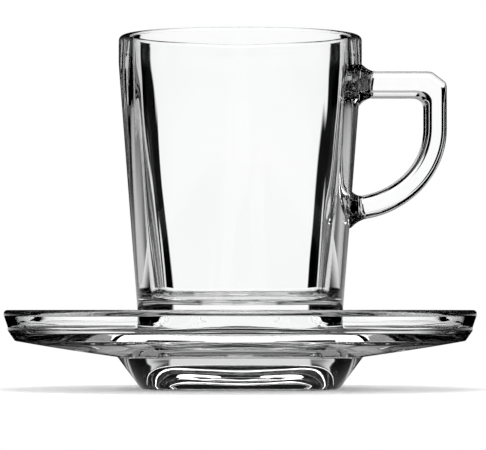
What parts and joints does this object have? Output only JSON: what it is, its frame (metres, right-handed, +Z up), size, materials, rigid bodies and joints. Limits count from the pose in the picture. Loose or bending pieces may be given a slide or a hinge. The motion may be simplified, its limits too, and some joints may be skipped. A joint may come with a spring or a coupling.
{
  "type": "coffee cup with saucer",
  "caption": "Clear pressed-glass coffee cup with a round mouth, square base and open loop handle, standing in the seat of a round saucer with a square foot.",
  "frame": {"origin": "middle of the saucer's foot, on the table", "axes": "+Z up along the cup's axis, +X towards the handle, +Y away from a viewer who has the handle on the right"},
  "size_m": [0.118, 0.118, 0.0882],
  "materials": {
    "saucer_glass": "clear pressed glass, fire-polished",
    "cup_glass": "clear pressed glass, fire-polished"
  },
  "bodies": {
    "saucer": {"saucer": "saucer_glass"},
    "cup": {"cup_bowl": "cup_glass", "cup_handle": "cup_glass"}
  },
  "joints": [
    {"name": "cup_lift", "type": "slide", "parent": "saucer", "child": "cup", "axis": [0, 0, 1], "range_m": [0, 0.1]}
  ]
}
